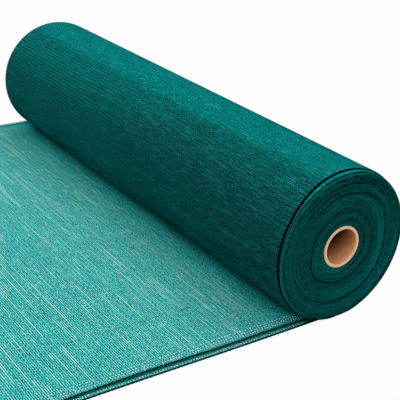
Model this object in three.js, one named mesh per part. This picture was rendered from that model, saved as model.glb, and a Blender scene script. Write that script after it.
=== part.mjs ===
// A roll of windbreak netting. The netting is folded double, wound on a paperboard core,
// and its loose end is laid out flat in front of the roll.
// Millimetres, +Z up. The roll's axis runs along X, and the loose end lies towards -Y.
// The origin is on the ground, at the middle of the whole footprint.

import * as THREE from 'three';
import { mergeVertices } from 'three/addons/utils/BufferGeometryUtils.js';

// Netting, folded double
const LAYER = 1.2;
const LAYERS_APART = 0.6;
const DOUBLE = 2 * LAYER + LAYERS_APART;
const CLEARANCE = 0.3;

// Roll
const ROLL_LENGTH = 983;
const ROLL_RADIUS = 123;
const ROLL_SQUASH = 1;
const TURN_PITCH = DOUBLE + CLEARANCE;
const FAR_SHOULDER = 25.6;
const SHOULDER_STEPS = 6;
const NEAR_DISH = 5.6;
const COLUMNS = 96;
const STEP_WIDTH = 1.7;

// Near end of the outermost turn: it stops short of the turns under it, with a groove between
const GROOVE_WIDTH = 3.2;
const GROOVE_DEPTH = 5;
const NEXT_TURN_IN = 3.2;
const NEXT_TURN_ROUND = 0.8;

// How far the outermost turn stops short, against how far round it is, from back bottom over the top
const STOPS_SHORT = [
  { round: 0.0, by: 7.0 },
  { round: 0.3, by: 9.0 },
  { round: 0.45, by: 8.5 },
  { round: 0.75, by: 8.0 },
  { round: 0.87, by: 5.5 },
  { round: 1.0, by: 2.0 },
];

// Main rings that show between turns on the end faces: how far inside the roll's surface, and how deep
const RINGS = [
  { inside: 10, deep: 1.6 },
  { inside: 14.5, deep: 1.2 },
  { inside: 29, deep: 1.0 },
  { inside: 46, deep: 1.2 },
  { inside: 65, deep: 0.8 },
];
const RING_WIDTH = 2.4;

// The turns' wander, most in the middle of the wound thickness: waves round the roll, and the wound
// thickness in which each wave turns by one radian
const WANDER = [
  { high: 1.6, around: 3, through: 14 },
  { high: 0.8, around: 5, through: -9 },
];

// Core
const CORE_RADIUS = 34.6;
const CORE_WALL = 6.3;
const CORE_PROUD = 1.5;
const CORE_EDGE = 0.8;
const CORE_SIDES = 72;

// Loose end
const SHEET_WIDTH = 1013.8;
const SHEET_LENGTH = 600;
const SHEET_NEAR_SETBACK = 12.4;
const UPPER_LAYER_SETBACK = 14;
const DRAWN_IN = 26;
const DRAWN_IN_LENGTH = 45;
const EDGE_LIFT = 1.3;
const EDGE_LIFT_WIDTH = 26;
const SHEET_COLUMNS = 16;
const SHEET_STEPS = 16;
const STEPS_CROWD = 1.6;
const FOLD_SIDES = 6;

// Waves in the cloth: the height of each, and the way across or along in which it turns by one radian
const RIDGES = [
  { high: 0.34, across: 61, along: 170, start: 0 },
  { high: 0.21, across: 143, along: -95, start: 1.3 },
];
const RIDGE_MEAN = 0.55;
const LIFT_WAVES = [{ high: 0.5, across: Infinity, along: 47, start: 0.8 }];
const SIDE_WAVES = [{ high: 0.8, across: Infinity, along: 83, start: 0 }];
const CUT_WAVES = [{ high: 1.5, across: 120, along: Infinity, start: 0 }];

// Where the waves of the upper layer begin, as distances from the roll and from the fold
const RIDGES_START = { from: 40, to: 160 };
const LIFT_START = { from: 30, to: 110 };
const FOLD_STAYS = { from: 4, to: 120 };

// Worked out from the sizes above
const AXIS_HEIGHT = ROLL_RADIUS - ROLL_SQUASH;
const NEAR_END = ROLL_LENGTH / 2;
const FAR_END = -ROLL_LENGTH / 2;
const BORE_RADIUS = CORE_RADIUS + CLEARANCE;
const SHEET_NEAR = NEAR_END - SHEET_NEAR_SETBACK;
const SHEET_FAR = SHEET_NEAR - SHEET_WIDTH;
const UPPER_NEAR = SHEET_NEAR - UPPER_LAYER_SETBACK;

const woundNetting = new THREE.MeshStandardMaterial({ color: 0x075a56, roughness: 0.75, metalness: 0 });
const laidNetting = new THREE.MeshStandardMaterial({ color: 0x4fada6, roughness: 0.8, metalness: 0 });
const paperboard = new THREE.MeshStandardMaterial({ color: 0xc39a78, roughness: 0.9, metalness: 0 });

// A value read between the rows of a table
function between(rows, place, key, value) {
  const next = rows.findIndex((row) => row[key] >= place);
  if (next <= 0) {
    return rows[0][value];
  }
  const share = THREE.MathUtils.inverseLerp(rows[next - 1][key], rows[next][key], place);
  return THREE.MathUtils.lerp(rows[next - 1][value], rows[next][value], share);
}

// Shared vertices only, which makes the surface one closed body
function closed(geometry) {
  geometry.deleteAttribute('normal');
  geometry.deleteAttribute('uv');
  const merged = mergeVertices(geometry, 1e-4);
  merged.computeVertexNormals();
  return merged;
}

// Moves every vertex of a geometry to where the function sends it
function reshape(geometry, place) {
  const position = geometry.attributes.position;
  const point = new THREE.Vector3();
  for (let i = 0; i < position.count; i += 1) {
    point.fromBufferAttribute(position, i);
    place(point);
    position.setXYZ(i, point.x, point.y, point.z);
  }
  return geometry;
}

// Sum of a table's waves at a place on the cloth
function waves(table, x, out) {
  return table.reduce((sum, wave) => {
    return sum + wave.high * Math.sin(x / wave.across + out / wave.along + wave.start);
  }, 0);
}

// 0 before a stretch, 1 after it, and smooth between
function grows(place, stretch) {
  return THREE.MathUtils.smoothstep(place, stretch.from, stretch.to);
}

// The near end face is dished: the turns round the core stand back from the outer ones
function nearFace(radius) {
  const share = (ROLL_RADIUS - radius) / (ROLL_RADIUS - BORE_RADIUS);
  return NEAR_END - NEAR_DISH * share;
}

// The groove between two turns on an end face, as three points of the section
function ringGroove(ring, face, inward) {
  const middle = ROLL_RADIUS - ring.inside;
  return [-1, 0, 1].map((side) => {
    const radius = middle + (side * RING_WIDTH) / 2;
    const depth = side === 0 ? ring.deep * inward : 0;
    return new THREE.Vector2(radius, face(radius) + depth);
  });
}

// Far end: a flat face with its rings, then the rounded shoulder where the outer turns draw in
function farEndSection() {
  const points = [new THREE.Vector2(BORE_RADIUS, FAR_END)];
  for (const ring of [...RINGS].reverse()) {
    if (ring.inside > FAR_SHOULDER + RING_WIDTH) {
      points.push(...ringGroove(ring, () => FAR_END, 1));
    }
  }
  for (let i = 0; i <= SHOULDER_STEPS; i += 1) {
    const angle = (i / SHOULDER_STEPS) * (Math.PI / 2);
    const radius = ROLL_RADIUS - FAR_SHOULDER * (1 - Math.sin(angle));
    points.push(new THREE.Vector2(radius, FAR_END + FAR_SHOULDER * (1 - Math.cos(angle))));
  }
  return points;
}

// Near end: the outermost turn's edge, the groove, the next turns' rounded edge, then the dished face
function nearEndSection() {
  const next = ROLL_RADIUS - NEXT_TURN_IN;
  const points = [
    new THREE.Vector2(ROLL_RADIUS, NEAR_END - GROOVE_WIDTH / 2),
    new THREE.Vector2(ROLL_RADIUS - 1, NEAR_END),
    new THREE.Vector2(ROLL_RADIUS - GROOVE_DEPTH, NEAR_END + GROOVE_WIDTH / 3),
    new THREE.Vector2(next, NEAR_END + GROOVE_WIDTH),
    new THREE.Vector2(ROLL_RADIUS - GROOVE_DEPTH - NEXT_TURN_ROUND, NEAR_END),
  ];
  for (const ring of RINGS) {
    points.push(...ringGroove(ring, nearFace, -1).reverse());
  }
  points.push(new THREE.Vector2(BORE_RADIUS, nearFace(BORE_RADIUS)));
  return points;
}

// The edge of the outermost turn and its groove are set back from the near end, unevenly round the roll
function setBack(radius, along, round) {
  const outermost = radius > ROLL_RADIUS - GROOVE_DEPTH - NEXT_TURN_ROUND / 2;
  if (!outermost || along < NEAR_END - GROOVE_WIDTH) {
    return along;
  }
  return Math.min(along - between(STOPS_SHORT, round, 'round', 'by'), NEAR_END - 0.6);
}

// The turns aren't true circles: they wander in and out, most in the middle of the wound thickness
function wandered(radius, angle) {
  const outward = (radius - BORE_RADIUS) / (ROLL_RADIUS - BORE_RADIUS);
  const share = 4 * outward * (1 - outward);
  return WANDER.reduce((sum, wave) => {
    return sum + wave.high * share * Math.sin(wave.around * angle + radius / wave.through);
  }, radius);
}

// The wound netting. Going round once from the back bottom, the outermost turn sinks by one pitch,
// and its end is the step from which the loose end leaves.
function rolledNetting() {
  const section = [...farEndSection(), ...nearEndSection()];
  section.push(section[0].clone());
  const geometry = new THREE.LatheGeometry(section, COLUMNS);
  const stepAngle = STEP_WIDTH / ROLL_RADIUS;
  reshape(geometry, (point) => {
    const radius = Math.hypot(point.x, point.z);
    const turned = Math.atan2(point.x, point.z) / (2 * Math.PI);
    const column = Math.round((turned + 1) * COLUMNS) % COLUMNS;
    const round = column / (COLUMNS - 1);
    const angle = -Math.PI / 2 + stepAngle + (2 * Math.PI - stepAngle) * round;
    const outward = (radius - BORE_RADIUS) / (ROLL_RADIUS - BORE_RADIUS);
    const sunk = wandered(radius, angle) - TURN_PITCH * round * outward;
    const ground = round > 0.5 ? DOUBLE + CLEARANCE : 0;
    const height = AXIS_HEIGHT + sunk * Math.sin(angle);
    point.set(setBack(radius, point.y, round), sunk * Math.cos(angle), Math.max(height, ground));
  });
  return new THREE.Mesh(closed(geometry), woundNetting);
}

// The paperboard tube, open right through, with its edges eased
function coreTube() {
  const inner = CORE_RADIUS - CORE_WALL;
  const near = nearFace(BORE_RADIUS) + CORE_PROUD;
  const far = FAR_END - CORE_PROUD;
  const section = [
    new THREE.Vector2(inner, far + CORE_EDGE),
    new THREE.Vector2(inner + CORE_EDGE, far),
    new THREE.Vector2(CORE_RADIUS - CORE_EDGE, far),
    new THREE.Vector2(CORE_RADIUS, far + CORE_EDGE),
    new THREE.Vector2(CORE_RADIUS, near - CORE_EDGE),
    new THREE.Vector2(CORE_RADIUS - CORE_EDGE, near),
    new THREE.Vector2(inner + CORE_EDGE, near),
    new THREE.Vector2(inner, near - CORE_EDGE),
    new THREE.Vector2(inner, far + CORE_EDGE),
  ];
  const mesh = new THREE.Mesh(closed(new THREE.LatheGeometry(section, CORE_SIDES)), paperboard);
  mesh.rotation.z = -Math.PI / 2;
  mesh.position.z = AXIS_HEIGHT;
  return mesh;
}

// Section of the doubled netting across its width: the fold is at the far side, the open side at the near
function doubledSection() {
  const points = [];
  const half = DOUBLE / 2;
  const foldCentre = SHEET_FAR + half;
  const row = (from, to, height) => {
    for (let i = 0; i <= SHEET_COLUMNS; i += 1) {
      points.push(new THREE.Vector2(THREE.MathUtils.lerp(from, to, i / SHEET_COLUMNS), height));
    }
  };
  const bend = (radius, from, to) => {
    for (let i = 1; i < FOLD_SIDES; i += 1) {
      const angle = THREE.MathUtils.lerp(from, to, i / FOLD_SIDES);
      points.push(new THREE.Vector2(foldCentre - radius * Math.cos(angle), half + radius * Math.sin(angle)));
    }
  };
  row(foldCentre, SHEET_NEAR, 0);
  row(SHEET_NEAR, foldCentre, LAYER);
  bend(LAYERS_APART / 2, -Math.PI / 2, Math.PI / 2);
  row(foldCentre, UPPER_NEAR, LAYER + LAYERS_APART);
  row(UPPER_NEAR, foldCentre, DOUBLE);
  bend(half, Math.PI / 2, -Math.PI / 2);
  return points;
}

// Low ridges in the upper layer, strongest away from the roll and flat where the roll sits on it
function ridge(x, out) {
  const height = RIDGE_MEAN + waves(RIDGES, x, out);
  return height * grows(out, RIDGES_START) * grows(x - SHEET_FAR, FOLD_STAYS);
}

// The upper layer's near edge stands a little off the lower layer, unevenly along its length
function edgeLift(x, out) {
  const byEdge = { from: UPPER_NEAR - EDGE_LIFT_WIDTH, to: UPPER_NEAR };
  const height = EDGE_LIFT + waves(LIFT_WAVES, x, out);
  return height * grows(out, LIFT_START) * grows(x, byEdge);
}

// Sideways shift of the cloth: it is drawn in where it runs under the roll, and its edges waver
function sideways(x, out) {
  const drawn = DRAWN_IN * (1 - grows(out, { from: 0, to: DRAWN_IN_LENGTH }));
  const share = THREE.MathUtils.clamp(x / SHEET_FAR, 0, 1);
  return drawn * share + waves(SIDE_WAVES, x, out) * Math.abs(x / SHEET_FAR);
}

// The loose end, from the step under the roll out to its cut end. Its steps are closest by the roll.
function looseEnd() {
  const outline = new THREE.Shape(doubledSection());
  const geometry = new THREE.ExtrudeGeometry(outline, {
    depth: SHEET_LENGTH,
    steps: SHEET_STEPS,
    bevelEnabled: false,
  });
  reshape(geometry, (point) => {
    const x = point.x;
    const out = SHEET_LENGTH * (point.z / SHEET_LENGTH) ** STEPS_CROWD;
    const cut = waves(CUT_WAVES, x, out) * (out / SHEET_LENGTH) ** 4;
    let height = point.y;
    const lifted = THREE.MathUtils.clamp((height - LAYER) / LAYERS_APART, 0, 1);
    height += lifted * (ridge(x, out) + edgeLift(x, out));
    point.set(x + sideways(x, out), -CLEARANCE - out - cut, height);
  });
  return new THREE.Mesh(closed(geometry), laidNetting);
}

const roll = new THREE.Group();
const pieces = { core_tube: coreTube(), rolled_netting: rolledNetting(), loose_end: looseEnd() };
for (const [name, mesh] of Object.entries(pieces)) {
  mesh.name = name;
  roll.add(mesh);
}

// The whole is moved so that the middle of its footprint is at the origin
roll.updateMatrixWorld(true);
const extent = new THREE.Box3().setFromObject(roll);
roll.position.set(-(extent.min.x + extent.max.x) / 2, -(extent.min.y + extent.max.y) / 2, 0);

export default roll;
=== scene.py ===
"""A roll of folded windbreak netting on its paper core, with its loose end laid out in front of it."""

import math
import random

import bmesh
import bpy
import numpy as np
from mathutils import Matrix, Vector


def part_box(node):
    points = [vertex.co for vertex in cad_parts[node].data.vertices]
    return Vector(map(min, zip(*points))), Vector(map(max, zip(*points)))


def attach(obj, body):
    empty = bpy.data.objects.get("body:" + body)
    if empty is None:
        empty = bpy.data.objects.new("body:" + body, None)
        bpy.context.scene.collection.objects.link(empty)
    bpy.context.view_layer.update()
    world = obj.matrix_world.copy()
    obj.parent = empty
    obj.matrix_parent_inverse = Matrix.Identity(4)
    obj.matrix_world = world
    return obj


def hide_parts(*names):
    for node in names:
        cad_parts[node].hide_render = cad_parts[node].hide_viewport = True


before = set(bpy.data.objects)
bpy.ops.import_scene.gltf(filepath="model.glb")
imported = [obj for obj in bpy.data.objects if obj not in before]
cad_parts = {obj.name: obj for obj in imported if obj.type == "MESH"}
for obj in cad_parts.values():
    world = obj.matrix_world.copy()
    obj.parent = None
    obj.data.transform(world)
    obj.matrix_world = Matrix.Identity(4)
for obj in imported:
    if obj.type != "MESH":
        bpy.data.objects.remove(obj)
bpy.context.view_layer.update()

MM = 0.001
TURN = math.tau
QUARTER = TURN / 4

# The roll and its core, as in the part's source
ROLL_LOW, ROLL_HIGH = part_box("rolled_netting")
CORE_LOW, CORE_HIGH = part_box("core_tube")
AXIS_Y = (CORE_LOW.y + CORE_HIGH.y) / 2
AXIS_Z = (CORE_LOW.z + CORE_HIGH.z) / 2
NEAR_END = ROLL_HIGH.x
FAR_END = ROLL_LOW.x
ROLL_MIDDLE = (NEAR_END + FAR_END) / 2
ROLL_RADIUS = 123 * MM
DOUBLE = 3.0 * MM
CLEARANCE = 0.3 * MM
TURN_PITCH = DOUBLE + CLEARANCE
FAR_SHOULDER = 25.6 * MM
NEAR_DISH = 5.6 * MM
SEAM_GAP = 1.7 * MM
STEP_ANGLE = SEAM_GAP / ROLL_RADIUS

# The board is drawn slimmer than its solid, because its rim looks thinner in the photograph
CORE_SLIMMER = 1.2 * MM
CORE_RADIUS = (CORE_HIGH.z - CORE_LOW.z) / 2 - CORE_SLIMMER
BORE_RADIUS = CORE_RADIUS + CLEARANCE
CORE_WALL = 5.1 * MM
PLY = 1.05 * MM

# How far the outermost turn stops short of the near end. Columns: share of the way round, distance in mm
STOPS_SHORT = np.array((
    (0.0, 12.4), (0.1, 12.4), (0.25, 12.6), (0.4, 13.6), (0.5, 15.0), (0.56, 14.5),
    (0.61, 12.0), (0.65, 9.8), (0.75, 7.8), (0.87, 5.0), (1.0, 1.5),
))

# How the netting looks down the roll's two sides, with painted shade. Columns: degrees from its top, how far
# painted shade darkens its gaps, tone (painted shade: lighter near the top, darker down the sides)
DOWN_THE_SIDES = np.array((
    (0, 0.15, 0.82),
    (12, 0.2, 0.84),
    (20, 0.4, 0.97),
    (28, 0.7, 1.0),
    (38, 1.0, 1.0),
    (50, 1.0, 0.82),
    (62, 1.0, 0.72),
    (74, 1.0, 0.65),
    (86, 1.0, 0.67),
    (100, 0.95, 0.76),
    (115, 0.9, 0.80),
    (130, 0.8, 0.74),
    (180, 0.6, 0.58),
))

# Main rings on the end faces. Columns: how far inside the roll's surface, how deep, how wide, how much
# painted shade darkens it
RINGS = (
    (12.0 * MM, 1.0 * MM, 3.2 * MM, 0.95),
    (20.5 * MM, 1.0 * MM, 3.4 * MM, 0.9),
    (30.0 * MM, 0.8 * MM, 3.4 * MM, 0.75),
    (47.0 * MM, 0.3 * MM, 2.4 * MM, 0.3),
    (66.0 * MM, 0.2 * MM, 2.2 * MM, 0.2),
)

# Seeds for the end faces' unevenness and for the edge's loops
NEAR_SEED = 11
FAR_SEED = 23
LOOP_SEED = 5

# How the turns sway on the end faces. Columns: how far, waves in a turn, change of radius for a radian
SWAY = (
    (1.6 * MM, 3, 14 * MM),
    (0.9 * MM, 5, -9 * MM),
    (0.5 * MM, 11, 6 * MM),
    (0.25 * MM, 23, -4 * MM),
)

# The netting's rows run along the roll. One row takes this much of the cloth's length
ROLL_ROWS = 236
ROW_PITCH = TURN * ROLL_RADIUS / ROLL_ROWS
ROW_POINTS = 3
ROW_HIGH = 0.65 * MM
STITCH_PITCH = 6.2 * MM
LAID_STITCH_PITCH = 7.3 * MM
UNEVENNESS = 0.5
LAID_UNEVENNESS = 0.12

# The loose end, folded double: the fold is at the far side, the open side at the near
SHEET_NEAR = NEAR_END - 12.4 * MM
SHEET_WIDTH = 1013.8 * MM
SHEET_FAR = SHEET_NEAR - SHEET_WIDTH
SHEET_LENGTH = 600 * MM
SHEET_START = AXIS_Y - CLEARANCE
LAYER = 1.1 * MM
LOWER_MIDDLE = 0.6 * MM
UPPER_MIDDLE = 2.35 * MM
UPPER_SETBACK = 8.5 * MM
UPPER_NEAR = SHEET_NEAR - UPPER_SETBACK
DRAWN_IN = 26 * MM
DRAWN_IN_LENGTH = 45 * MM
EDGE_LIFT = 1.7 * MM
EDGE_BAND = 26 * MM
# The painted shade of the crease beside the fold: how far in from the fold, and how wide
FOLD_LINE = 14.5 * MM
FOLD_LINE_WIDTH = 3.4 * MM

# Low ridges over the loose end. Columns: height, change of X and of the way out for a radian, start
RIDGE_MEAN = 0.55 * MM
RIDGES = (
    (0.34 * MM, 61 * MM, 170 * MM, 0.0),
    (0.21 * MM, 143 * MM, -95 * MM, 1.3),
)

# Painted shade of a faint broken crease across the loose end's rows, at this X
CREASE_X = 371 * MM
CREASE_BEND = 12 * MM
CREASE_HALF_WIDTH = 3.2 * MM

# Cords and knitted loops along the loose end's open side; the cords' near-black also serves as painted shade
# along the edges
CORD_START = 6 * MM
CORD_STEP = 1.8 * MM
UPPER_CORD_RADIUS = 1.1 * MM
LOWER_CORD_RADIUS = 1.3 * MM
LOWER_CORD_OUT = 1.4 * MM
LOWER_CORD_RISE = 0.95 * MM
LOOP_START = 46 * MM
LOOP_PITCH = 4.6 * MM
LOOP_SIZE = Vector((1.5 * MM, 1.0 * MM, 0.5 * MM))

# Rows of loops. Columns: where across the cloth, whether it is on the upper layer
LOOP_ROWS = (
    (UPPER_NEAR - 6.3 * MM, True),
    (UPPER_NEAR - 12 * MM, True),
    (UPPER_NEAR - 19 * MM, True),
    (SHEET_NEAR - 3.2 * MM, False),
)

# The camera's place and aim
CAMERA_PLACE = Vector((1.39725, -0.6425, 0.7444))
CAMERA_AZIMUTH = math.radians(54.98)
CAMERA_ELEVATION = math.radians(24.31)
CAMERA_TILT = math.radians(2.79)
CAMERA_LENS = 84.0
CAMERA_SENSOR = 36


def set_camera():
    """The camera looks down on the near end of the roll, at the photograph's angle."""
    lens = bpy.data.cameras.new("view")
    lens.sensor_width = CAMERA_SENSOR
    lens.lens = CAMERA_LENS
    camera = bpy.data.objects.new("view", lens)
    bpy.context.scene.collection.objects.link(camera)
    turned, raised, tilt = CAMERA_AZIMUTH, CAMERA_ELEVATION, CAMERA_TILT
    back = Vector((
        math.sin(turned) * math.cos(raised),
        -math.cos(turned) * math.cos(raised),
        math.sin(raised),
    ))
    level = Vector((math.cos(turned), math.sin(turned), 0))
    upward = back.cross(level)
    right = level * math.cos(tilt) + upward * math.sin(tilt)
    up = upward * math.cos(tilt) - level * math.sin(tilt)
    aim = Matrix((right, up, back)).transposed().to_4x4()
    camera.matrix_world = Matrix.Translation(CAMERA_PLACE) @ aim
    bpy.context.scene.camera = camera


set_camera()

# Shader helpers

# The colour sockets of a Mix node share their names with its other kinds, so they are told by number
MIX_SHARE = 0
MIX_FIRST = 6
MIX_SECOND = 7
MIX_RESULT = 2


def join(tree, value, socket):
    """Feeds a socket from another socket, or sets it to a plain value."""
    if isinstance(value, bpy.types.NodeSocket):
        tree.links.new(value, socket)
    else:
        socket.default_value = value


def add(tree, kind, options=None, sockets=None):
    """Adds a node, sets its options and fills its inputs."""
    node = tree.nodes.new(kind)
    for name, value in (options or {}).items():
        setattr(node, name, value)
    for name, value in (sockets or {}).items():
        join(tree, value, node.inputs[name])
    return node


def reckon(tree, operation, *values):
    """One step of arithmetic on numbers."""
    node = add(tree, "ShaderNodeMath", {"operation": operation})
    for value, socket in zip(values, node.inputs):
        join(tree, value, socket)
    return node.outputs[0]


def times(tree, first, *others):
    """The product of all the values."""
    for other in others:
        first = reckon(tree, "MULTIPLY", first, other)
    return first


def largest(tree, first, *others):
    """The largest of all the values."""
    for other in others:
        first = reckon(tree, "MAXIMUM", first, other)
    return first


def without(tree, value):
    """What the value leaves of 1."""
    return reckon(tree, "SUBTRACT", 1.0, value)


def half_wave(tree, operation, angle):
    """A sine or cosine that goes from 0 to 1."""
    return reckon(tree, "MULTIPLY_ADD", reckon(tree, operation, angle), 0.5, 0.5)


def reach(tree, value, low, high, to_low=0.0, to_high=1.0):
    """A number that goes smoothly from to_low to to_high as the value goes from low to high."""
    node = add(tree, "ShaderNodeMapRange", {"interpolation_type": "SMOOTHSTEP"})
    labels = ("Value", "From Min", "From Max", "To Min", "To Max")
    for label, part in zip(labels, (value, low, high, to_low, to_high)):
        join(tree, part, node.inputs[label])
    return node.outputs["Result"]


def between(tree, share, first, second):
    """A colour between two colours."""
    node = add(tree, "ShaderNodeMix", {"data_type": "RGBA"})
    join(tree, share, node.inputs[MIX_SHARE])
    join(tree, first, node.inputs[MIX_FIRST])
    join(tree, second, node.inputs[MIX_SECOND])
    return node.outputs[MIX_RESULT]


def grain(tree, place, size, detail=2.0):
    """Uneven noise whose grains have the given size, in metres, along each way of the place."""
    scaled = add(tree, "ShaderNodeVectorMath", {"operation": "MULTIPLY"})
    join(tree, place, scaled.inputs[0])
    scaled.inputs[1].default_value = [1 / part for part in size]
    fills = {"Vector": scaled.outputs[0], "Scale": 1.0, "Detail": detail}
    noise = add(tree, "ShaderNodeTexNoise", None, fills)
    return noise.outputs["Fac"]


def map_place(tree, label):
    """The place on a piece's own map."""
    return add(tree, "ShaderNodeUVMap", {"uv_map": label}).outputs[0]


def split(tree, place):
    """The first two parts of a place."""
    parts = add(tree, "ShaderNodeSeparateXYZ", None, {0: place}).outputs
    return parts[0], parts[1]


def attribute(tree, name):
    """A number stored on the piece's own points."""
    return add(tree, "ShaderNodeAttribute", {"attribute_name": name}).outputs["Fac"]


def shader_group(name, takes, gives):
    """A node group with named inputs and outputs, and its two end nodes."""
    group = bpy.data.node_groups.new(name, "ShaderNodeTree")
    for label, kind, value in takes:
        socket = group.interface.new_socket(label, in_out="INPUT", socket_type=kind)
        if value is not None:
            socket.default_value = value
    for label in gives:
        group.interface.new_socket(label, in_out="OUTPUT", socket_type="NodeSocketFloat")
    return group, group.nodes.new("NodeGroupInput").outputs, group.nodes.new("NodeGroupOutput").inputs


# The weave

# Sizes of the weave's unevenness in metres, across and along the cloth
DRIFT_GRAIN = (0.13, 0.021, 1)
DASH_GRAIN = (0.024, 0.09, 1)
GAP_GRAIN = (0.05, 0.09, 1)
WOBBLE_GRAIN = (0.03, 0.012, 1)
PATCH_GRAIN = (0.03, 0.05, 1)
STREAK_GRAIN = (0.24, 0.05, 1)
FLECK_GRAIN = (0.0017, 0.0013, 1)
SPECKLE_GRAIN = (0.0028, 0.0023, 1)
CLOUD_GRAIN = (0.16, 0.09, 1)

# How far apart the rows' own noises are, and the gaps'
ROW_APART = 0.37
GAP_APART = 0.53


def own_place(tree, across, number, apart):
    """A place that jumps from row to row, so that noise on it runs along each row on its own."""
    return add(tree, "ShaderNodeCombineXYZ", None, {0: across, 1: times(tree, number, apart)}).outputs[0]


def weave_group():
    """The netting's weave as masks over the cloth. Place holds the distances across and along the cloth."""
    tree, given, out = shader_group(
        "netting weave",
        [
            ("Place", "NodeSocketVector", None),
            ("Row Pitch", "NodeSocketFloat", ROW_PITCH),
            ("Stitch Pitch", "NodeSocketFloat", STITCH_PITCH),
            ("Unevenness", "NodeSocketFloat", UNEVENNESS),
        ],
        ["Row", "Second Row", "Second Gap", "Dash", "Gap", "Stitch", "Streak", "Speckle", "Fleck", "Cloud"],
    )
    place = given["Place"]
    across, along = split(tree, place)

    # rows and gaps, and every second one of each
    drift = reckon(tree, "SUBTRACT", grain(tree, place, DRIFT_GRAIN, 1.0), 0.5)
    count = reckon(tree, "DIVIDE", along, given["Row Pitch"])
    bent = reckon(tree, "MULTIPLY_ADD", drift, given["Unevenness"], count)
    row = half_wave(tree, "COSINE", times(tree, bent, TURN))
    half_turns = times(tree, bent, TURN / 2)
    join(tree, row, out["Row"])
    join(tree, half_wave(tree, "COSINE", half_turns), out["Second Row"])
    join(tree, half_wave(tree, "SINE", half_turns), out["Second Gap"])

    # lighter dashes and long streaks on the rows, and gaps that open and close
    on_row = own_place(tree, across, reckon(tree, "ROUND", bent), ROW_APART)
    in_gap = own_place(tree, across, reckon(tree, "FLOOR", bent), GAP_APART)
    dash = reach(tree, grain(tree, on_row, DASH_GRAIN, 3.0), 0.46, 0.72)
    join(tree, times(tree, dash, reach(tree, row, 0.35, 0.95)), out["Dash"])
    join(tree, reach(tree, grain(tree, in_gap, GAP_GRAIN), 0.32, 0.68), out["Gap"])
    join(tree, reach(tree, grain(tree, on_row, STREAK_GRAIN, 2.5), 0.5, 0.66), out["Streak"])

    # patches of stitches, in wavering columns across the rows
    wobble = times(tree, grain(tree, place, WOBBLE_GRAIN), 6.0)
    column = reckon(tree, "DIVIDE", across, given["Stitch Pitch"])
    stitch = half_wave(tree, "SINE", reckon(tree, "MULTIPLY_ADD", column, TURN, wobble))
    patches = reach(tree, grain(tree, place, PATCH_GRAIN), 0.35, 0.6)
    join(tree, times(tree, stitch, patches), out["Stitch"])

    join(tree, grain(tree, place, FLECK_GRAIN, 0.0), out["Fleck"])
    join(tree, grain(tree, place, SPECKLE_GRAIN, 1.5), out["Speckle"])
    join(tree, grain(tree, place, CLOUD_GRAIN), out["Cloud"])
    return tree


WEAVE = weave_group()


def put_weave(tree, stitch_pitch=STITCH_PITCH, unevenness=UNEVENNESS):
    """The weave's masks on a piece's own map of its cloth."""
    weave = add(tree, "ShaderNodeGroup", {"node_tree": WEAVE}, {"Place": map_place(tree, "cloth")})
    weave.inputs["Stitch Pitch"].default_value = stitch_pitch
    weave.inputs["Unevenness"].default_value = unevenness
    return weave.outputs


# Materials

# near-black for painted shade in hollows and grooves
SHADE_BLACK_GREEN = (0.0, 0.003, 0.003, 1)
# dark of the weave's gaps, also used for painted shade
GAP_AND_SHADE_DARK = (0.0, 0.004, 0.004, 1)
TAPE_DEEP = (0.0006, 0.088, 0.084, 1)
TAPE_GREEN = (0.0033, 0.305, 0.287, 1)
TAPE_BRIGHT = (0.020, 0.56, 0.53, 1)
FACE_DEEP = (0.0, 0.014, 0.014, 1)
FACE_GREEN = (0.0003, 0.100, 0.094, 1)
FACE_BRIGHT = (0.002, 0.23, 0.215, 1)
LAID_DEEP = (0.001, 0.215, 0.200, 1)
LAID_GREEN = (0.024, 0.700, 0.655, 1)
LAID_PALE = (0.58, 0.92, 0.89, 1)
LAID_SHADED = (0.0005, 0.075, 0.070, 1)
# near-black of the cords, also painted shade along the edges
CORD_DARK_AND_EDGE_SHADE = (0.0, 0.006, 0.006, 1)
CORD_GREEN = (0.0, 0.055, 0.052, 1)
LOOP_GREEN = (0.20, 0.76, 0.72, 1)
LOOP_PALE = (0.68, 1.0, 0.97, 1)
RIM_PALE = (0.95, 0.62, 0.43, 1)
RIM_BROWN = (0.78, 0.46, 0.30, 1)
MOUTH_BROWN = (0.98, 0.46, 0.20, 1)
MOUTH_PALE = (1.0, 0.60, 0.31, 1)
WALL_BROWN = (0.74, 0.260, 0.088, 1)
WALL_PALE = (0.92, 0.350, 0.130, 1)
# painted shade deep in the bore
BORE_SHADE = (0.030, 0.009, 0.003, 1)

# Sizes of the grain on the other pieces, in metres
THREAD_GRAIN = (0.0021, 0.012, 1)
BEAD_GRAIN = (0.0019, 0.0030, 1)
CREASE_BEND_GRAIN = (0.3, 0.06, 1)
CREASE_BREAK_GRAIN = (0.4, 0.045, 1)
TWIST_GRAIN = (0.004, 0.003, 0.003)
LOOP_GRAIN = (0.009, 0.009, 0.004)
FIBRE_GRAIN = (0.0012, 0.0009, 1)


def new_material(name):
    """A material with its node tree and its shader."""
    material = bpy.data.materials.new(name)
    material.use_nodes = True
    return material, material.node_tree, material.node_tree.nodes["Principled BSDF"]


def put_bump(tree, shader, height, strength, distance):
    """Small relief from a height mask."""
    bump = add(tree, "ShaderNodeBump", None, {"Height": height, "Strength": strength, "Distance": distance})
    join(tree, bump.outputs[0], shader.inputs["Normal"])


def netting_finish(shader, roughness):
    """Matt plastic tape, with almost no gloss of its own."""
    shader.inputs["Roughness"].default_value = roughness
    shader.inputs["Specular IOR Level"].default_value = 0.0


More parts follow.
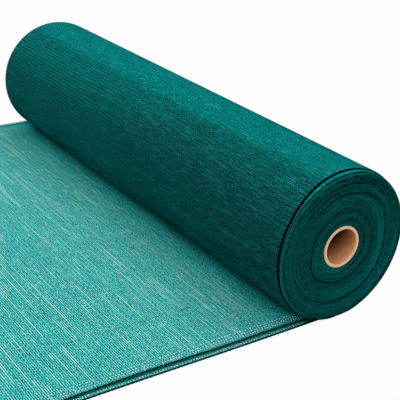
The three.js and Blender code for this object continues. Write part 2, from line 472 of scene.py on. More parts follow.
def wound_material():
    """Dark green netting on the roll's side: rows with dark gaps between, lighter dashes on the rows, and
    painted shade down the sides and in the hollows.
    """
    material, tree, shader = new_material("wound netting")
    weave = put_weave(tree)
    tape = reach(tree, weave["Row"], 0.5, 1.0)
    # towards the far end every second row stands out, and every second gap
    pairs = attribute(tree, "pairs")
    # painted shade in the gaps, deeper down the roll's sides than near its top
    gap_shade = attribute(tree, "gap_shade_paint")

    grains = reach(tree, weave["Speckle"], 0.38, 0.62)
    ground = between(tree, grains, TAPE_DEEP, TAPE_GREEN)
    ground = between(tree, times(tree, weave["Dash"], 0.6), ground, TAPE_BRIGHT)
    lit = times(tree, weave["Second Row"], tape, pairs, gap_shade, 0.3)
    ground = between(tree, lit, ground, TAPE_BRIGHT)

    weak = reckon(tree, "MULTIPLY_ADD", pairs, 0.15, 0.3)
    weak = times(tree, without(tree, weave["Second Gap"]), weak)
    uneven = reckon(tree, "MULTIPLY_ADD", weave["Gap"], 0.14, 0.86)
    gap = times(tree, without(tree, tape), uneven, without(tree, weak))
    dull = times(tree, without(tree, weave["Second Row"]), pairs, 0.32)
    shaded_gaps = reckon(tree, "MULTIPLY_ADD", weave["Stitch"], -0.15, times(tree, gap_shade, 1.5))
    gap = times(tree, largest(tree, gap, dull), reach(tree, shaded_gaps, 0.0, 1.0))

    colour = between(tree, gap, ground, GAP_AND_SHADE_DARK)
    # painted shade: the tone is lighter near the top and darker down the sides
    colour = between(tree, attribute(tree, "tone"), GAP_AND_SHADE_DARK, colour)
    # painted shade: black in the hollows under the near lip and on the far face
    colour = between(tree, attribute(tree, "painted_shade"), colour, SHADE_BLACK_GREEN)
    join(tree, colour, shader.inputs["Base Color"])
    netting_finish(shader, 0.7)
    put_bump(tree, shader, reckon(tree, "ADD", weave["Speckle"], weave["Stitch"]), 0.45, 0.7 * MM)
    return material


def turn_end_material():
    """The turns' edges on the end faces: deep green, with painted shade between turns and in the rings, and
    lighter on the outer ones.
    """
    material, tree, shader = new_material("turn edges")
    weave = put_weave(tree)
    place = map_place(tree, "cloth")
    thread = reach(tree, grain(tree, place, THREAD_GRAIN, 2.5), 0.33, 0.67)
    bead = reach(tree, grain(tree, place, BEAD_GRAIN, 1.0), 0.45, 0.68)
    face = between(tree, thread, FACE_DEEP, FACE_GREEN)
    face = between(tree, times(tree, bead, 0.6), face, FACE_BRIGHT)
    face = between(tree, attribute(tree, "bright"), face, FACE_BRIGHT)
    face = between(tree, attribute(tree, "shade"), face, FACE_DEEP)
    skin = between(tree, reach(tree, weave["Speckle"], 0.3, 0.7), TAPE_DEEP, TAPE_GREEN)
    colour = between(tree, attribute(tree, "outer"), face, skin)
    # painted shade between turns, in the rings and in the groove
    colour = between(tree, attribute(tree, "painted_shade"), colour, SHADE_BLACK_GREEN)
    join(tree, colour, shader.inputs["Base Color"])
    netting_finish(shader, 0.75)
    put_bump(tree, shader, reckon(tree, "ADD", thread, bead), 0.6, 0.5 * MM)
    return material


def cross_crease(tree):
    """A mask on the loose end's map for the painted shade of a faint broken crease across its rows."""
    place = map_place(tree, "cloth")
    across, out = split(tree, place)
    bend = times(tree, grain(tree, place, CREASE_BEND_GRAIN, 1.0), CREASE_BEND)
    straight = reckon(tree, "SUBTRACT", across, bend)
    away = reckon(tree, "ABSOLUTE", reckon(tree, "SUBTRACT", straight, CREASE_X))
    line = reach(tree, away, 0.0, CREASE_HALF_WIDTH, 0.42, 0.0)
    broken = reach(tree, grain(tree, place, CREASE_BREAK_GRAIN, 1.0), 0.40, 0.55)
    starts = reach(tree, out, 0.1, 0.2)
    ends = reach(tree, out, 0.42, 0.52, 1.0, 0.0)
    return times(tree, line, broken, starts, ends)


def laid_material():
    """The loose end: the same netting laid out, lighter and a little sheer, with pale streaks on its rows."""
    material, tree, shader = new_material("laid netting")
    weave = put_weave(tree, LAID_STITCH_PITCH, LAID_UNEVENNESS)
    tape = reach(tree, weave["Row"], 0.2, 0.8)
    grains = reach(tree, weave["Speckle"], 0.39, 0.61)
    ground = between(tree, grains, LAID_DEEP, LAID_GREEN)
    gap = times(tree, without(tree, tape), reckon(tree, "MULTIPLY_ADD", weave["Gap"], 0.4, 0.5))
    colour = between(tree, gap, ground, LAID_SHADED)

    # whitish flecks, long lines and dashes, and every second row a little paler
    fleck = reach(tree, weave["Fleck"], 0.59, 0.72, 0.0, 0.6)
    lines = times(
        tree,
        reach(tree, weave["Streak"], 0.3, 0.8),
        reach(tree, weave["Row"], 0.75, 0.98, 0.0, 0.95),
        reach(tree, weave["Cloud"], 0.4, 0.58, 0.45, 1.0),
    )
    dash = reach(tree, weave["Dash"], 0.3, 0.8, 0.0, 0.55)
    second = times(tree, weave["Second Row"], reach(tree, weave["Row"], 0.7, 0.97, 0.0, 0.2))
    pale = largest(tree, fleck, lines, dash, second)

    # the pale flecks are held back in the roll's painted shadow
    colour = between(tree, times(tree, pale, attribute(tree, "clear")), colour, LAID_PALE)
    # painted shade along a faint crease across the rows
    colour = between(tree, cross_crease(tree), colour, LAID_SHADED)
    # painted highlight on the rolled strip by the fold
    colour = between(tree, attribute(tree, "fold_highlight"), colour, LAID_PALE)
    # painted shadow of the roll where the two meet, and darker bands along the open side
    colour = between(tree, attribute(tree, "deep"), colour, LAID_SHADED)
    # painted shade along the crease beside the fold
    colour = between(tree, attribute(tree, "painted_shade"), colour, GAP_AND_SHADE_DARK)
    join(tree, colour, shader.inputs["Base Color"])
    join(tree, reckon(tree, "MULTIPLY_ADD", tape, 0.06, 0.94), shader.inputs["Alpha"])
    netting_finish(shader, 0.75)
    put_bump(tree, shader, reckon(tree, "ADD", weave["Speckle"], weave["Stitch"]), 0.5, 0.5 * MM)
    return material


def cord_material():
    """The dark cord knitted into the netting's edges; its near-black also stands in for the shade along those
    edges.
    """
    material, tree, shader = new_material("edge cord")
    place = add(tree, "ShaderNodeTexCoord").outputs["Object"]
    twist = reach(tree, grain(tree, place, TWIST_GRAIN), 0.35, 0.7)
    join(tree, between(tree, twist, CORD_DARK_AND_EDGE_SHADE, CORD_GREEN), shader.inputs["Base Color"])
    netting_finish(shader, 0.7)
    put_bump(tree, shader, twist, 0.5, 0.4 * MM)
    return material


def stitch_material():
    """Pale loops of the knitted edge."""
    material, tree, shader = new_material("edge stitches")
    place = add(tree, "ShaderNodeTexCoord").outputs["Object"]
    worn = reach(tree, grain(tree, place, LOOP_GRAIN), 0.35, 0.65)
    join(tree, between(tree, worn, LOOP_GREEN, LOOP_PALE), shader.inputs["Base Color"])
    netting_finish(shader, 0.6)
    put_bump(tree, shader, worn, 0.3, 0.3 * MM)
    return material


def core_material():
    """Wound paperboard: a pale cut rim with fine plies, and brown inside, with painted shade that darkens it
    further in and towards the top of the bore.
    """
    material, tree, shader = new_material("core board")
    place = map_place(tree, "board")
    fibre = grain(tree, place, FIBRE_GRAIN, 4.0)
    ply = reckon(tree, "COSINE", times(tree, split(tree, place)[0], TURN / PLY))
    rim = between(tree, reckon(tree, "MULTIPLY_ADD", ply, 0.2, 0.3), RIM_PALE, RIM_BROWN)
    # painted shade inside: paler at the mouth, browner and then dark further in and towards the top
    deep = attribute(tree, "deep")
    mouth = between(tree, fibre, MOUTH_BROWN, MOUTH_PALE)
    wall = between(tree, fibre, WALL_BROWN, WALL_PALE)
    wall = between(tree, reach(tree, deep, 0.0, 0.45), mouth, wall)
    wall = between(tree, reach(tree, deep, 0.12, 0.95), wall, BORE_SHADE)
    join(tree, between(tree, attribute(tree, "cut"), wall, rim), shader.inputs["Base Color"])
    shader.inputs["Roughness"].default_value = 0.85
    shader.inputs["Specular IOR Level"].default_value = 0.25
    put_bump(tree, shader, fibre, 0.3, 0.3 * MM)
    return material


# Cloth grids

# Points of a seam that lie nearer than this are welded
WELD = 1e-6


def points_of(mesh):
    """The mesh's points as rows of three numbers."""
    flat = np.empty(len(mesh.vertices) * 3, np.float32)
    mesh.vertices.foreach_get("co", flat)
    return flat.reshape(-1, 3).astype(float)


def cloth_grid(name, columns, rows):
    """A flat grid of cloth, with each point's column and row."""
    bm = bmesh.new()
    bmesh.ops.create_grid(bm, x_segments=columns, y_segments=rows, size=0.5)
    mesh = bpy.data.meshes.new(name)
    bm.to_mesh(mesh)
    bm.free()
    flat = points_of(mesh)
    column = np.rint((flat[:, 0] + 0.5) * columns).astype(int)
    row = np.rint((flat[:, 1] + 0.5) * rows).astype(int)
    return mesh, column, row


def place_points(mesh, x, y, z):
    """Moves every point of the mesh to its place."""
    mesh.vertices.foreach_set("co", np.stack([x, y, z], -1).astype(np.float32).ravel())
    mesh.update()


def lay_map(mesh, label, first, second):
    """The piece's own map: two distances in metres for each point."""
    corner = np.empty(len(mesh.loops), np.int32)
    mesh.loops.foreach_get("vertex_index", corner)
    layer = mesh.uv_layers.new(name=label)
    layer.data.foreach_set("uv", np.stack([first[corner], second[corner]], -1).astype(np.float32).ravel())


def mark_points(mesh, label, values):
    """A number kept on each point, for the material to read."""
    layer = mesh.attributes.new(label, "FLOAT", "POINT")
    layer.data.foreach_set("value", np.broadcast_to(values, len(mesh.vertices)).astype(np.float32))


def finish_faces(bm, mesh):
    """Turns the faces outwards, smooths them and puts them back into the mesh."""
    bmesh.ops.recalc_face_normals(bm, faces=bm.faces)
    for face in bm.faces:
        face.smooth = True
    bm.to_mesh(mesh)
    bm.free()


def close_up(mesh):
    """Welds points that meet, and bridges what the spiral's step leaves open."""
    bm = bmesh.new()
    bm.from_mesh(mesh)
    rim = [v for v in bm.verts if v.is_boundary]
    bmesh.ops.remove_doubles(bm, verts=rim, dist=WELD)
    gap = [e for e in bm.edges if e.is_boundary]
    if gap:
        try:
            bmesh.ops.bridge_loops(bm, edges=gap)
        except RuntimeError:
            bmesh.ops.holes_fill(bm, edges=gap, sides=0)
    finish_faces(bm, mesh)


def show(mesh, material, slot, *stands_for):
    """Puts a finished mesh in the scene as a piece of the part."""
    piece = bpy.data.objects.new(mesh.name, mesh)
    bpy.context.scene.collection.objects.link(piece)
    mesh.materials.append(material)
    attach(piece, "root")
    if stands_for:
        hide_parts(*stands_for)
    return piece


def smooth(value, low, high):
    """0 below low, 1 above high, and smooth between."""
    share = np.clip((value - low) / (high - low), 0, 1)
    return share * share * (3 - 2 * share)


def bump_at(value, middle, width):
    """1 at the middle, falling softly to 0 about the given width away."""
    return np.exp(-(((value - middle) / width) ** 2))


def wandering(across, along):
    """Distance along the cloth, bent a little so that the rows waver."""
    slow = 0.4 * MM * np.sin(across / 0.083 + along / 0.31)
    quick = 0.12 * MM * np.sin(across / 0.031 - along / 0.12 + 1)
    return along + slow + quick


def row_height(along):
    """How proud the rows stand, from 0 in a gap to 1 on a row."""
    return (0.5 + 0.5 * np.cos(TURN * along / ROW_PITCH)) ** 0.8


# The wound roll


def round_the_axis(x, radius, angle):
    """A place given by its distance along the roll, its radius and its angle."""
    return x, AXIS_Y + radius * np.cos(angle), AXIS_Z + radius * np.sin(angle)


def stops_short(round_share):
    """How far the outermost turn stops short of the near end."""
    return np.interp(round_share, STOPS_SHORT[:, 0], STOPS_SHORT[:, 1] * MM)


def skin_section():
    """The outermost turn's section, as distance along the roll and radius: far shoulder, side, near lip."""
    shoulder_steps, side_steps = 10, 56
    tuck = 7 * MM
    lip_tuck = 19 * MM
    face_radius = ROLL_RADIUS - FAR_SHOULDER - 1.2 * MM
    points = [(FAR_END + tuck, BORE_RADIUS), (FAR_END + tuck, face_radius), (FAR_END + 0.5 * MM, face_radius)]
    for step in range(shoulder_steps + 1):
        angle = step / shoulder_steps * QUARTER
        along = FAR_END + FAR_SHOULDER * (1 - math.cos(angle))
        points.append((along, ROLL_RADIUS - FAR_SHOULDER * (1 - math.sin(angle))))
    side_start, side_end = FAR_END + FAR_SHOULDER, NEAR_END - 6 * MM
    for step in range(1, side_steps + 1):
        points.append((side_start + (side_end - side_start) * step / side_steps, ROLL_RADIUS))
    lip = ((-3.4, 0.15), (-2.0, 0.2), (-0.9, 0.0), (-0.2, -0.5), (0.0, -1.2), (-0.2, -2.2), (-0.8, -2.9))
    points += [(NEAR_END + x * MM, ROLL_RADIUS + up * MM) for x, up in lip]
    points += [(NEAR_END - lip_tuck, ROLL_RADIUS - DOUBLE), (NEAR_END - lip_tuck, BORE_RADIUS)]
    return np.array(points)


def wound_skin():
    """The side of the roll, with the rows of the netting standing proud and dark gaps between them."""
    section = skin_section()
    columns = ROLL_ROWS * ROW_POINTS - 1
    mesh, column, station = cloth_grid("wound_netting", columns, len(section))
    section = np.vstack([section, section[:1]])
    x, plain_radius = section[station].T
    share = column / columns
    angle = -QUARTER + STEP_ANGLE + (TURN - STEP_ANGLE) * share
    along = wandering(x, share * TURN * ROLL_RADIUS)

    # the rows fade out towards the near edge and over the far shoulder
    outside = (plain_radius > ROLL_RADIUS - FAR_SHOULDER * 0.9) & (x < NEAR_END - 1 * MM)
    edge_fade = 1 - smooth(x, NEAR_END - 5 * MM, NEAR_END - 1 * MM)
    shoulder_fade = smooth(plain_radius, ROLL_RADIUS - FAR_SHOULDER * 0.8, ROLL_RADIUS - FAR_SHOULDER * 0.2)
    proud = ROW_HIGH * (0.75 + 0.25 * np.sin(x / 0.043 + along / 0.017) * np.sin(along / 0.0093))
    rise = proud * (row_height(along) - 0.6) * np.where(outside, 1, 0) * edge_fade * shoulder_fade
    outward = (plain_radius - BORE_RADIUS) / (ROLL_RADIUS - BORE_RADIUS)
    radius = plain_radius + rise - TURN_PITCH * share * outward

    # the near edge drifts along the roll, and the underside stays clear of the loose end
    lip = (x > NEAR_END - 5 * MM) & (plain_radius > ROLL_RADIUS - 4 * MM)
    drifts = lip | (x > NEAR_END - 8 * MM) & outside
    moved = x - np.where(drifts, 1.0, 0.0) * stops_short(share)
    moved, y, z = round_the_axis(moved, radius, angle)
    z = np.maximum(z, np.where(share > 0.5, DOUBLE + CLEARANCE, 0.0))
    place_points(mesh, moved, y, z)
    lay_map(mesh, "cloth", moved, along)

    # painted shade: the tucked lip under the near edge and the skin on the far face are painted black
    inside_lip = (x > NEAR_END - 20 * MM) & (plain_radius < ROLL_RADIUS - 0.9 * MM)
    far_face = plain_radius < ROLL_RADIUS - FAR_SHOULDER - 0.5 * MM
    mark_points(mesh, "painted_shade", np.where(inside_lip | far_face, 1.0, 0.0))
    # painted shade down the sides: the gaps darken and the tone falls away from near the top, darker towards
    # the near end and lighter towards the far end
    down = np.degrees(np.arccos(np.clip(np.sin(angle), -1, 1)))
    degrees, gap_shade, tone = DOWN_THE_SIDES.T
    shaded_gaps = np.interp(down, degrees, gap_shade)
    nearer = np.clip(moved / 0.35, -1, 1)
    darker = 0.13 * shaded_gaps * nearer
    mark_points(mesh, "gap_shade_paint", shaded_gaps)
    mark_points(mesh, "tone", np.interp(down, degrees, tone) * (1 - darker))
    mark_points(mesh, "pairs", 1 - smooth(moved, -0.3, 0.25))
    close_up(mesh)
    return mesh


def uneven_turns(seed, count):
    """How far each stretch of the wound netting stands out of the end face, as knots along its length."""
    chance = random.Random(seed)
    return np.array([chance.uniform(-1, 1) for _ in range(count)])


def face_relief(radius, share, seed):
    """Relief of an end face: fine turns along the spiral, and a few main rings.

    It gives how far each place stands out, how much painted shade it takes between the turns and in the
    rings, and how much darker or brighter it is."""
    quick_knots, slow_knots = 400, 90
    quick_in_turn, slow_in_turn = 9, 2.3
    inside = ROLL_RADIUS - radius
    outward = (radius - BORE_RADIUS) / (ROLL_RADIUS - BORE_RADIUS)
    middle = np.clip(4 * outward * (1 - outward), 0, 1)
    angle = TURN * share
    sway = middle * sum(far * np.sin(waves * angle + radius / bend) for far, waves, bend in SWAY)

    # which turn each place is on, how far it is over that turn, and its place along the netting
    wound = (inside + sway) / TURN_PITCH - share
    number = np.floor(wound)
    part = wound - number
    unwound = number + share + 2
    quick = np.interp(unwound * quick_in_turn, np.arange(quick_knots), uneven_turns(seed, quick_knots))
    slow = np.interp(unwound * slow_in_turn, np.arange(slow_knots), uneven_turns(seed + 1, slow_knots))
    layers = np.abs(np.sin(TURN * part)) ** 0.6
    gap = 1 - np.clip(np.abs(part - np.rint(part)) / 0.2, 0, 1)
    relief = 0.6 * MM * layers + 0.45 * MM * quick + 0.9 * MM * slow - 0.9 * MM * gap
    # painted shade between the turns, deepest in the gaps between them
    painted_shade = 0.25 * (1 - layers) + 0.8 * gap * smooth(quick + 1.5 * slow, -1.4, 0.4)
    tone = 0.7 * slow + 0.4 * quick

    # the main rings sink and take painted shade, most towards the upper left
    upper_left = 0.55 + 0.45 * np.cos(angle - QUARTER - math.radians(115))
    for ring_inside, deep, wide, dark in RINGS:
        away = inside + sway * 0.4 - ring_inside
        relief = relief - deep * upper_left * bump_at(away, 0, wide / 2)
        painted_shade = np.maximum(painted_shade, dark * upper_left * bump_at(away, 0, wide / 2.4))
    return relief, np.clip(painted_shade, 0, 1), smooth(tone, 0, 0.9) * 0.75, smooth(-tone, 0, 0.9) * 0.45


def mark_face(mesh, painted_shade, shade, bright, outer):
    """What the turn edges' material reads on an end face."""
    # painted shade between turns and in the rings and grooves
    mark_points(mesh, "painted_shade", painted_shade)
    mark_points(mesh, "shade", shade)
    mark_points(mesh, "bright", bright)
    mark_points(mesh, "outer", outer)


def next_turns_edge(share, short, shown, bends, tucked):
    """The next turns' rounded edge with its groove, as places and radii, and the radius where it ends."""
    start_dip = 1.7 * MM * (1 - smooth(share, 0, 0.05))
    outer = ROLL_RADIUS - TURN_PITCH * share - 4.6 * MM + 3.0 * MM * shown - start_dip
    groove = outer - 3.2 * MM
    bend_deep = 1.2 * MM + 0.24 * short
    rim_x = np.minimum(NEAR_END - short + 4.2 * MM, NEAR_END - 1.2 * MM)
    edge = [
        (tucked, groove),
        (rim_x - 3.2 * MM, groove),
        (rim_x - 2.0 * MM, groove + 0.4 * MM),
        (rim_x - 1.2 * MM, outer - 1.4 * MM),
        (rim_x - 0.4 * MM, outer - 0.3 * MM),
        (rim_x, outer),
    ]
    for index in range(1, bends + 1):
        bend = index / bends * QUARTER
        edge.append((rim_x + (NEAR_END - rim_x) * math.sin(bend), outer - bend_deep * (1 - math.cos(bend))))
    return edge, outer - bend_deep


def turn_ends_near():
    """The near end face: the next turns' rounded edge, its groove, and the wound turns down to the core."""
    columns = 310
    # stations from the inside of the groove: its part painted black as shade, its end, the rim, the first
    # even circle, the core
    shaded_groove, groove_end, rim, even, steps = 3, 5, 21, 33, 223
    mesh, column, station = cloth_grid("turn_ends_near", columns, steps + 1)
    share = column / columns
    short = stops_short(share)
    shown = smooth(short, 1 * MM, 7 * MM)
    tucked = NEAR_END - 18.5 * MM + 0 * share
    edge, face = next_turns_edge(share, short, shown, rim - groove_end, tucked)
    x = np.choose(np.minimum(station, rim), [point[0] for point in edge])
    radius = np.choose(np.minimum(station, rim), [point[1] for point in edge])

    # from the rim, which follows the spiral, to plain circles a little further in
    circle = ROLL_RADIUS - 14 * MM
    to_circle = np.clip((station - rim) / (even - rim), 0, 1)
    inward = np.clip((station - even) / (steps - even), 0, 1)
    radius = np.where(station > rim, face + (circle - face) * to_circle, radius)
    radius = np.where(station > even, circle + (BORE_RADIUS - circle) * inward, radius)
    dish = NEAR_DISH * np.clip((circle - radius) / (circle - BORE_RADIUS), 0, 1)
    relief, painted_shade, shade, bright = face_relief(radius, share, NEAR_SEED)
    settle = smooth(face + 2 * MM - radius, 0, 3 * MM) * smooth(radius, BORE_RADIUS, BORE_RADIUS + 2 * MM)
    x = np.where(station > rim, NEAR_END - dish, x)
    x = np.where(station > groove_end, x + (relief - 0.9 * MM) * settle, x)
    x = np.where(station == steps + 1, tucked, x)

    # a painted shadow line and a bright strip along the rounded edge, and the roll's own green behind them;
    # the groove is painted black as shade
    on_bend = np.where(station > rim, 0.0, 1.0)
    past_groove = np.where(station > groove_end, 1.0, 0.0)
    step_shadow = on_bend * past_groove * shown * bump_at(x, NEAR_END - 3.0 * MM, 1.4 * MM)
    strip = 0.55 * on_bend * shown * bump_at(x, NEAR_END - 1.2 * MM, 0.7 * MM)
    band = on_bend * (1 - smooth(x, NEAR_END - 4.2 * MM, NEAR_END - 2.6 * MM))
    # painted shade: black in the groove, the step's shadow line on the bend, and the turns' own shade on the
    # face
    painted_shade = np.where(station <= shaded_groove, 1.0, painted_shade * (1 - on_bend) + step_shadow)

    x, y, z = round_the_axis(x, radius, -QUARTER + TURN * share)
    place_points(mesh, x, y, np.maximum(z, DOUBLE + 2 * CLEARANCE))
    lay_map(mesh, "cloth", radius, share * TURN * ROLL_RADIUS)
    mark_face(mesh, np.clip(painted_shade, 0, 1), shade, np.maximum(bright, strip), band * (0.15 + 0.47 * shown))
    close_up(mesh)
    return mesh


def turn_ends_far():
    """The far end face, flat inside the shoulder, with the same wound turns."""
    steps, columns = 130, 220
    mesh, column, station = cloth_grid("turn_ends_far", columns, steps + 2)
    share = column / columns
    inward = np.clip((station - 1) / steps, 0, 1)
    rim = ROLL_RADIUS - FAR_SHOULDER - 0.5 * MM
    rim = rim - TURN_PITCH * share * (rim - BORE_RADIUS) / (ROLL_RADIUS - BORE_RADIUS)
    radius = rim + (BORE_RADIUS - rim) * inward
    relief, painted_shade, shade, bright = face_relief(radius, share, FAR_SEED)
    settle = smooth(radius, BORE_RADIUS, BORE_RADIUS + 2 * MM) * smooth(rim - radius, 0, 2 * MM)
    x = FAR_END + 1.2 * MM * settle - relief * settle
    tucked = (station == 0) | (station == steps + 2)
    x = np.where(tucked, FAR_END + 6.5 * MM, x)
    place_points(mesh, *round_the_axis(x, radius, -QUARTER + TURN * share))
    lay_map(mesh, "cloth", radius, share * TURN * ROLL_RADIUS)
    # painted shade between the turns, fading out at the rims
    mark_face(mesh, painted_shade * settle, shade, bright, 0.0)
    close_up(mesh)
    return mesh


# The core

# Rings of points down the wall, so that its painted shade can deepen. Distances from each end, in mm
WALL_RINGS = (2.2, 8, 16, 26, 38, 52, 70, 95, 140, 400)


def core_section():
    """The board's section, closed on itself: inside, eased far rim, outside, eased near rim."""
    inner = CORE_RADIUS - CORE_WALL
    ease, inner_ease, ease_steps = 1.0 * MM, 1.6 * MM, 4
    bends = [step / ease_steps * QUARTER for step in range(ease_steps + 1)]
    points = []
    for end, way in ((CORE_LOW.x, 1), (CORE_HIGH.x, -1)):
        low, high = [], []
        for bend in bends:
            across, up = 1 - math.cos(bend), 1 - math.sin(bend)
            low.append((end + way * inner_ease * up, inner + inner_ease * across))
            high.append((end + way * ease * across, CORE_RADIUS - ease * up))
        points += (low + high)[::way]
    down = [(CORE_HIGH.x - depth * MM, inner) for depth in WALL_RINGS]
    down += [(CORE_LOW.x + depth * MM, inner) for depth in WALL_RINGS[::-1]]
    return np.array(points + down + points[:1])


def paper_core():
    """A paperboard tube with eased rims. The map runs along the board's section and round it."""
    columns = 160
    section = core_section()
    mesh, column, station = cloth_grid("paper_core", columns, len(section) - 1)
    x, radius = section[station].T
    angle = TURN * column / columns
    depth = np.minimum(CORE_HIGH.x - x, x - CORE_LOW.x)
    cut = (depth < 1.1 * MM) & (radius > CORE_RADIUS - CORE_WALL + 1.3 * MM)
    place_points(mesh, *round_the_axis(x, radius, angle))
    lay_map(mesh, "board", np.where(cut, radius, x), angle * CORE_RADIUS)
    mark_points(mesh, "cut", np.where(cut, 1.0, 0.0))
    # painted shade inside the bore: deeper further from the ends and towards the top
    mark_points(mesh, "deep", np.clip(depth / (52 * MM) + 0.3 * np.sin(angle) + 0.1, 0, 1))
    close_up(mesh)
    return mesh


# The loose end

# Where the sheet's points lie, in mm in from the lower layer's near edge, the fold and the upper edge
LOWER_STATIONS = (0, 1.5, 4, 8, 14, 22, 34, 60, 120, 240, 400, 560, 720, 860, 960, 1000)
FOLD_STATIONS = (0, 3, 6, 8, 9.6, 11.2, 13, 15, 17, 20)
EDGE_STATIONS = (32, 26, 20, 15, 10, 6, 3, 1, 0)


def sideways(x, out):
    """Sideways shift of the cloth: it is drawn in where it runs under the roll, and its edges waver."""
    drawn = DRAWN_IN * (1 - smooth(out, 0, DRAWN_IN_LENGTH))
    share = (x - ROLL_MIDDLE) / (SHEET_FAR - ROLL_MIDDLE)
    waver = 0.8 * MM * np.sin(out / 0.083) * np.abs(share)
    return drawn * np.clip(share, 0, 1) + waver


def upper_rise(x, out):
    """Height of the upper layer over its flat state: low ridges, and a lift towards the near edge."""
    ridges = RIDGE_MEAN
    for height, across, outward, start in RIDGES:
        ridges = ridges + height * np.sin((x - ROLL_MIDDLE) / across + out / outward + start)
    ridges = ridges * smooth(out, 0.04, 0.16) * smooth(x - SHEET_FAR, 0.004, 0.12)
    lift = (EDGE_LIFT + 0.6 * MM * np.sin(out / 0.047 + 0.8)) * smooth(out, 0.03, 0.11)
    return ridges + lift * smooth(x, UPPER_NEAR - EDGE_BAND, UPPER_NEAR)


def sheet_stations():
    """Across the doubled cloth: lower layer from the near edge to the fold, and upper layer back."""
    fold_steps, upper_steps = 8, 32
    bend = (UPPER_MIDDLE - LOWER_MIDDLE) / 2
    fold_x = SHEET_FAR + bend + LAYER / 2
    even_start = fold_x + FOLD_STATIONS[-1] * MM
    even_width = UPPER_NEAR - fold_x - 60 * MM
    stations = [(SHEET_NEAR - x * MM, LOWER_MIDDLE, 0) for x in LOWER_STATIONS]
    for step in range(1, fold_steps):
        angle = step / fold_steps * TURN / 2
        stations.append((fold_x - bend * math.sin(angle), LOWER_MIDDLE + bend * (1 - math.cos(angle)), 0))
    stations += [(fold_x + x * MM, UPPER_MIDDLE, 1) for x in FOLD_STATIONS]
    for step in range(1, upper_steps + 1):
        stations.append((even_start + even_width * step / upper_steps, UPPER_MIDDLE, 1))
    stations += [(UPPER_NEAR - x * MM, UPPER_MIDDLE, 1) for x in EDGE_STATIONS]
    return np.array(stations)


def cut_waver(x, out):
    """How far the cut end wavers."""
    return 1.5 * MM * np.sin((x - ROLL_MIDDLE) / 0.12) * (out / SHEET_LENGTH) ** 4


def loose_end():
    """The loose end as one sheet, folded double along the far side, open at the near side."""
    stations = sheet_stations()
    rows = round(SHEET_LENGTH / ROW_PITCH * ROW_POINTS)
    mesh, station, row = cloth_grid("loose_netting", len(stations) - 1, rows)
    x, height, upper = stations[station].T
    out = row / rows * SHEET_LENGTH
    along = wandering(x, out)
    rise = ROW_HIGH * 0.7 * (row_height(along) - 0.5) * smooth(out, 0.0, 0.03) * upper
    z = height + rise + upper * upper_rise(x, out)
    place_points(mesh, x + sideways(x, out), SHEET_START - out - cut_waver(x, out), z)
    lay_map(mesh, "cloth", x, along)

    # a broken line of painted shade along the crease beside the fold, and a painted highlight on the rolled
    # strip outside it
    from_fold = x - SHEET_FAR
    broken = 0.75 + 0.25 * np.sin(out / 0.0021) * np.sin(out / 0.017)
    mark_points(mesh, "painted_shade", broken * bump_at(from_fold, FOLD_LINE, FOLD_LINE_WIDTH) * upper)
    mark_points(mesh, "fold_highlight", 0.25 * upper * (1 - smooth(from_fold, 7 * MM, 11 * MM)))

    # its pale flecks start beyond the roll's shadow, painted into the cloth, which is deepest where the two
    # meet
    mark_points(mesh, "clear", smooth(out, 0.04, 0.135))
    painted_roll_shadow = 0.95 * (1 - smooth(out, 0.036, 0.066))
    # the same mark is also darker on the upper layer towards its edge and on the lower layer along the open
    # side
    by_the_edge = upper * 0.2 * smooth(x, UPPER_NEAR - EDGE_BAND, UPPER_NEAR - 12 * MM)
    strip = 0.3 * (1 - upper) * smooth(x, UPPER_NEAR - 30 * MM, UPPER_NEAR)
    mark_points(mesh, "deep", np.maximum(painted_roll_shadow, by_the_edge + strip))

    bm = bmesh.new()
    bm.from_mesh(mesh)
    finish_faces(bm, mesh)
    return mesh


def edge_point(x, out, upper):
    """A point on the middle of a layer of the loose end."""
    height = UPPER_MIDDLE + upper_rise(x, out) if upper else LOWER_MIDDLE + 0 * out
    return np.stack([x + sideways(x, out), SHEET_START - out - cut_waver(x, out), height], -1)


def edge_cord(name, x, upper, radius, rise):
    """A knitted cord along an open edge of the loose end, a little thicker at each stitch."""
    out = np.arange(CORD_START, SHEET_LENGTH - 1 * MM, CORD_STEP)
    path = edge_point(np.full(len(out), x), out, upper)
    line = bpy.data.curves.new(name, "CURVE")
    line.dimensions = "3D"
    line.bevel_depth = radius
    line.bevel_resolution = 2
    line.use_fill_caps = True
    spline = line.splines.new("POLY")
    spline.points.add(len(out) - 1)
    for point, place, distance in zip(spline.points, path, out):
        point.co = (place[0], place[1], place[2] + rise, 1)
        point.radius = 1 + 0.12 * math.cos(TURN * distance / LAID_STITCH_PITCH)
    shaped = bpy.data.objects.new(name, line)
    bpy.context.scene.collection.objects.link(shaped)
    mesh = bpy.data.meshes.new_from_object(shaped.evaluated_get(bpy.context.evaluated_depsgraph_get()))
    bpy.data.objects.remove(shaped)
    mesh.name = name
    return mesh


def edge_stitches():
    """Rows of pale knitted loops along the open side: three on the upper layer and one on the lower."""
    chance = random.Random(LOOP_SEED)
    on_top = Vector((0, 0, LAYER / 2 + 0.1 * MM))
    row_shift = 2 * MM
    bm = bmesh.new()
    for number, (x, upper) in enumerate(LOOP_ROWS):
        out = LOOP_START + number * row_shift
        while out < SHEET_LENGTH - 6 * MM:
            at = edge_point(np.array(x + chance.uniform(-0.6, 0.6) * MM), np.array(out), upper)
            size = LOOP_SIZE * chance.uniform(0.8, 1.2)
            place = Matrix.Translation(Vector(at) + on_top) @ Matrix.Diagonal((*size, 1))
            bmesh.ops.create_icosphere(bm, subdivisions=1, radius=1, matrix=place)
            out += LOOP_PITCH * chance.uniform(0.95, 1.05)
    for face in bm.faces:
        face.smooth = True
    mesh = bpy.data.meshes.new("edge_stitches")
    bm.to_mesh(mesh)
    bm.free()
    return mesh


# Pieces

wound = wound_material()
turn_edges = turn_end_material()
laid = laid_material()
cord = cord_material()
stitches = stitch_material()
board = core_material()

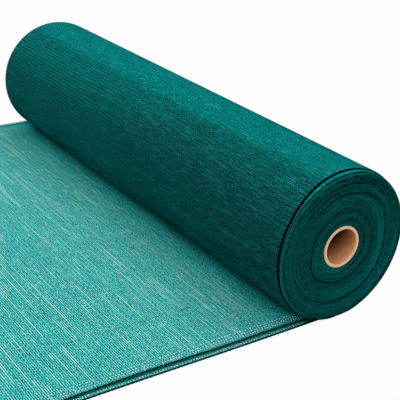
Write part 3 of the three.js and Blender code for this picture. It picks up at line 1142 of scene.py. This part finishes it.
show(wound_skin(), wound, "netting_wound", "rolled_netting")
show(turn_ends_near(), turn_edges, "netting_wound", "rolled_netting")
show(turn_ends_far(), turn_edges, "netting_wound", "rolled_netting")
show(paper_core(), board, "core_board", "core_tube")

sheet = show(loose_end(), laid, "netting_laid", "loose_end")
thickness = sheet.modifiers.new("thickness", "SOLIDIFY")
thickness.thickness = LAYER
thickness.offset = 0
upper_mesh = edge_cord("upper_edge_cord", UPPER_NEAR, True, UPPER_CORD_RADIUS, 0.0)
upper_cord = show(upper_mesh, cord, "netting_laid")
lower_x = SHEET_NEAR + LOWER_CORD_OUT
lower_mesh = edge_cord("lower_edge_cord", lower_x, False, LOWER_CORD_RADIUS, LOWER_CORD_RISE)
lower_cord = show(lower_mesh, cord, "netting_laid")
loops = show(edge_stitches(), stitches, "netting_laid")

# Floor and light

FLOOR_SIZE = 9
FLOOR_DROP = 0.4 * MM
FLOOR_GREY = (0.5, 0.5, 0.5, 1)
FLOOR_SEEN = (0.8, 0.8, 0.8, 1)
FLOOR_GLOW = 0.99
GLOW_SHARE = 0.97
SKY_STRENGTH = 0.36

# Soft lamps. Columns: name, place, aim, size, power
LAMPS = (
    ("front", (0.0, -1.3, 2.35), (0, 0.1, 0), 2.2, 36),
    ("back", (0.0, 0.95, 2.6), (0, 0.1, 0), 2.2, 28),
    ("near end", (4.0, -0.7, 1.6), (0.5, 0.24, 0.12), 1.4, 48),
)


def floor_material():
    """A plain pale floor. Seen directly it glows, so that it stays white beside the dark roll."""
    material = bpy.data.materials.new("floor")
    material.use_nodes = True
    tree = material.node_tree
    tree.nodes.clear()
    path = add(tree, "ShaderNodeLightPath").outputs
    seen = path["Is Camera Ray"]
    in_the_open = times(tree, seen, reckon(tree, "LESS_THAN", path["Transparent Depth"], 0.5))
    paper = add(tree, "ShaderNodeBsdfDiffuse", None, {"Color": between(tree, seen, FLOOR_GREY, FLOOR_SEEN)})
    glow = add(tree, "ShaderNodeEmission", None, {"Color": (1, 1, 1, 1), "Strength": FLOOR_GLOW})
    lit = add(tree, "ShaderNodeMixShader", None, {0: GLOW_SHARE, 1: paper.outputs[0], 2: glow.outputs[0]})
    mix = add(tree, "ShaderNodeMixShader", None, {0: in_the_open, 1: paper.outputs[0], 2: lit.outputs[0]})
    end = add(tree, "ShaderNodeOutputMaterial")
    join(tree, mix.outputs[0], end.inputs["Surface"])
    return material


def lay_floor():
    """A wide flat floor, just under the part."""
    bm = bmesh.new()
    bmesh.ops.create_grid(bm, x_segments=1, y_segments=1, size=FLOOR_SIZE)
    bmesh.ops.translate(bm, verts=bm.verts, vec=(0, 0, -FLOOR_DROP))
    mesh = bpy.data.meshes.new("floor")
    bm.to_mesh(mesh)
    bm.free()
    floor = bpy.data.objects.new("floor", mesh)
    bpy.context.scene.collection.objects.link(floor)
    mesh.materials.append(floor_material())


def soft_light(name, place, aim, size, power):
    """A round soft lamp that points at its aim."""
    lamp = bpy.data.lights.new(name, "AREA")
    lamp.shape = "DISK"
    lamp.size = size
    lamp.energy = power
    holder = bpy.data.objects.new(name, lamp)
    bpy.context.scene.collection.objects.link(holder)
    holder.location = place
    holder.rotation_euler = (Vector(aim) - Vector(place)).to_track_quat("-Z", "Y").to_euler()


def light_scene():
    """A pale even sky and three soft lamps."""
    world = bpy.data.worlds.new("studio")
    bpy.context.scene.world = world
    world.use_nodes = True
    sky = world.node_tree.nodes["Background"]
    sky.inputs["Color"].default_value = (1, 1, 1, 1)
    sky.inputs["Strength"].default_value = SKY_STRENGTH
    for lamp in LAMPS:
        soft_light(*lamp)
    bpy.context.scene.view_settings.view_transform = "Standard"


lay_floor()
light_scene()
